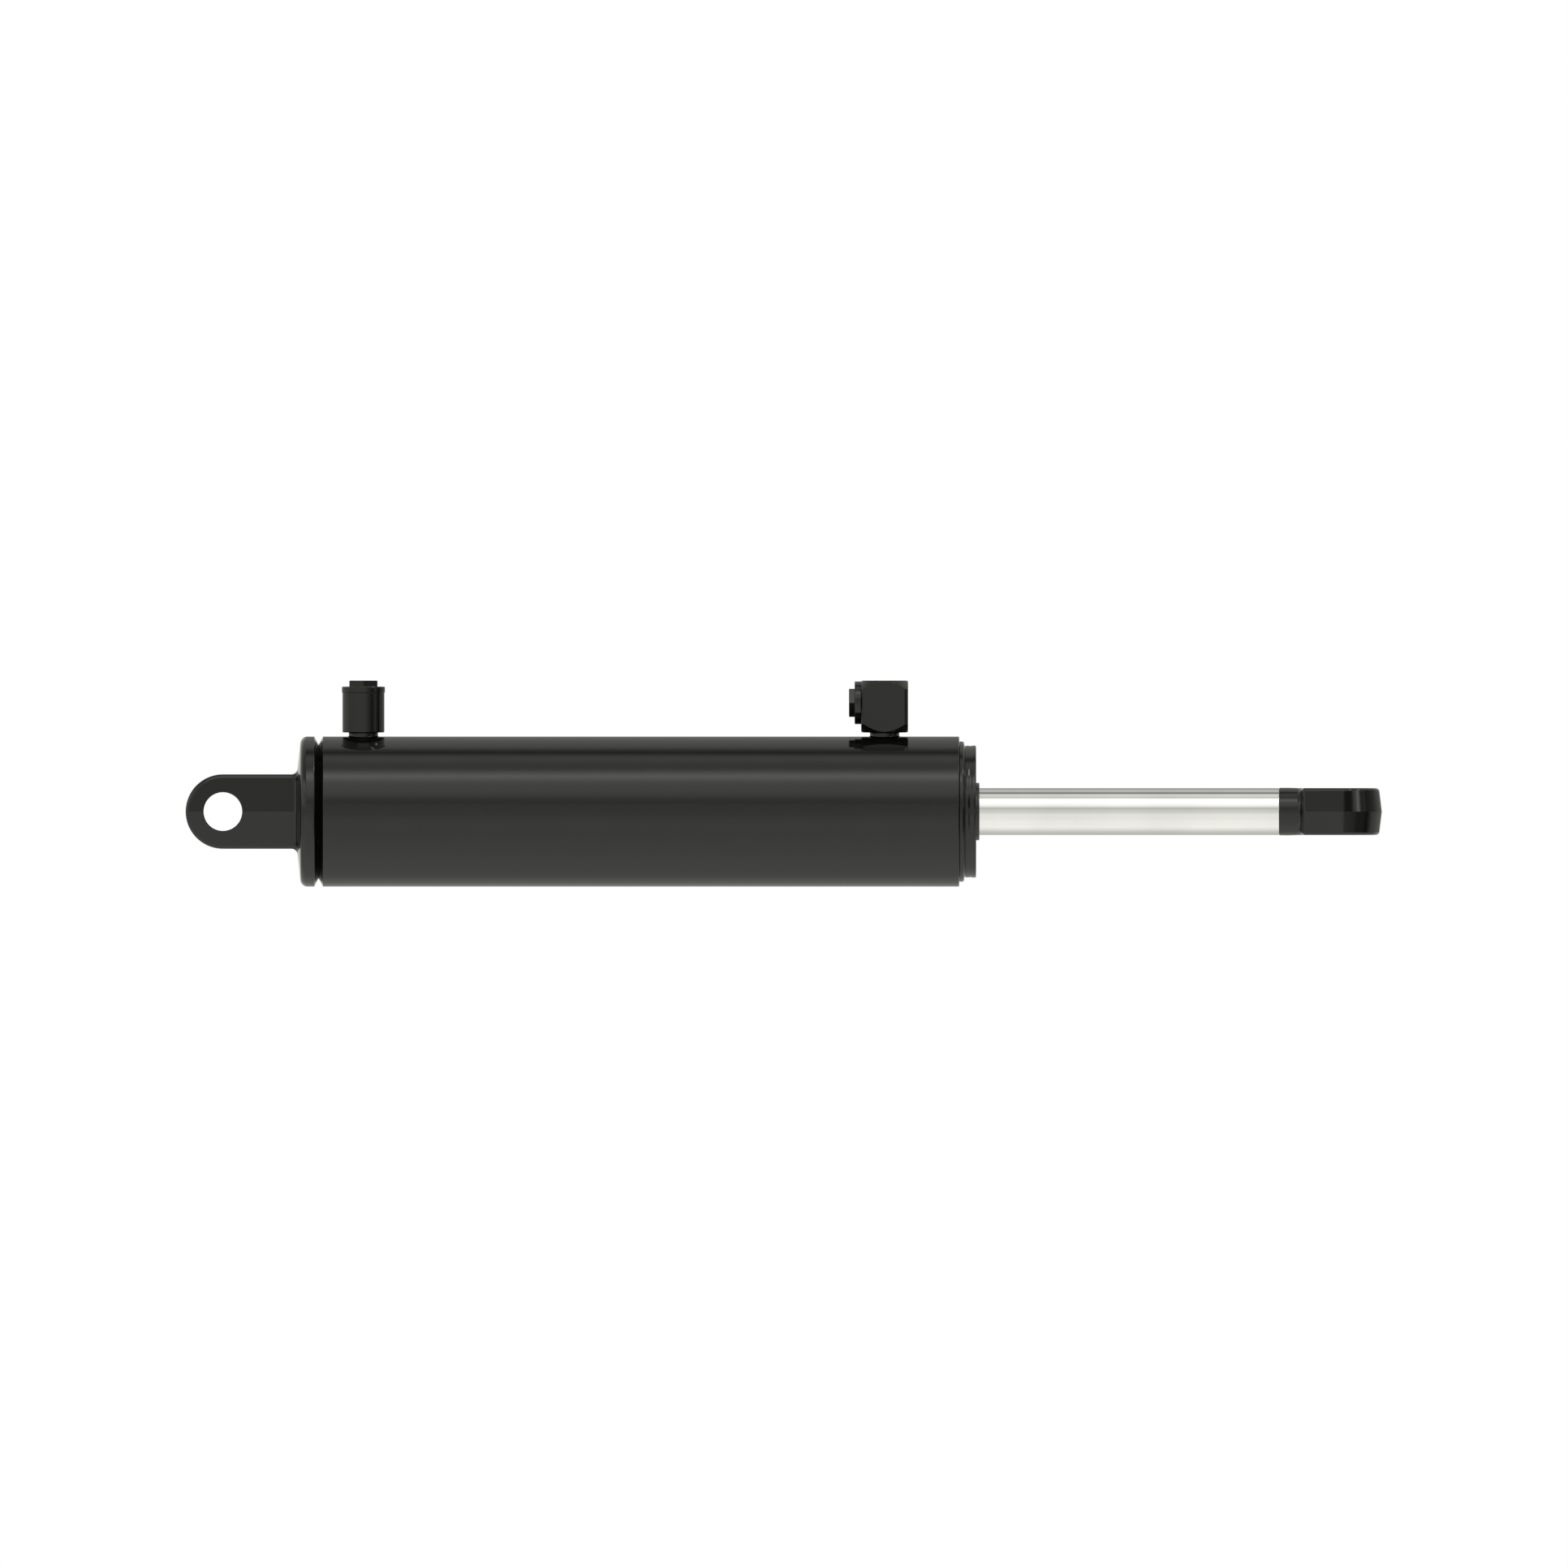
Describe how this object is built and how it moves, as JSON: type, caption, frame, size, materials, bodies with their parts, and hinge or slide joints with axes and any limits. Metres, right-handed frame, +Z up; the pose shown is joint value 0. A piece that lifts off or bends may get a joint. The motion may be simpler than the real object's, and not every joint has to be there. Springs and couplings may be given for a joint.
{
  "type": "hydraulic cylinder",
  "caption": "Double-acting welded hydraulic cylinder with a forged pin eye at each end, a chromed rod that slides and turns in a screwed gland, a straight base port and an elbow rod port.",
  "frame": {"origin": "centre of the base eye's pin hole", "axes": "+X along the cylinder from the base eye to the rod eye, +Y along the base pin, +Z up towards the ports"},
  "size_m": [0.8087, 0.1016, 0.1394],
  "materials": {
    "barrel_paint": "gloss black-grey enamel",
    "rod_chrome": "ground and polished hard chrome",
    "machined_steel": "turned",
    "ductile_iron": "turned",
    "weld_steel": "painted weld bead in shadow",
    "seal_rubber": "nitrile",
    "seal_urethane": "moulded polyurethane",
    "wiper_urethane": "moulded polyurethane, painted over",
    "wear_ring_nylon": "glass-filled nylon"
  },
  "bodies": {
    "barrel": {"barrel_tube": "barrel_paint", "base_cap": "barrel_paint", "base_root_weld": "weld_steel", "gland": "barrel_paint", "gland_o_ring": "seal_rubber", "gland_backup_ring": "wear_ring_nylon", "rod_seal": "seal_urethane", "rod_wear_ring_rear": "wear_ring_nylon", "rod_wear_ring_front": "wear_ring_nylon", "rod_wiper": "wiper_urethane", "base_port_boss": "barrel_paint", "base_port_plug": "barrel_paint", "base_port_o_ring": "seal_rubber", "rod_port_elbow": "barrel_paint", "rod_port_plug": "barrel_paint", "rod_port_o_ring": "seal_rubber"},
    "piston_rings": {"piston_seal": "seal_urethane", "piston_seal_energizer": "seal_rubber", "piston_wear_ring_rear": "wear_ring_nylon", "piston_wear_ring_front": "wear_ring_nylon"},
    "rod": {"piston_rod": "rod_chrome", "piston": "ductile_iron", "piston_nut": "machined_steel", "piston_o_ring": "seal_rubber", "rod_eye_weld": "barrel_paint", "rod_eye": "barrel_paint"}
  },
  "joints": [
    {"name": "rod_slide", "type": "slide", "parent": "barrel", "child": "piston_rings", "axis": [1, 0, 0], "range_m": [-0.184, 0.1208]},
    {"name": "rod_spin", "type": "hinge", "parent": "piston_rings", "child": "rod", "pos_m": [0.303, 0, 0], "axis": [1, 0, 0], "continuous": true}
  ]
}
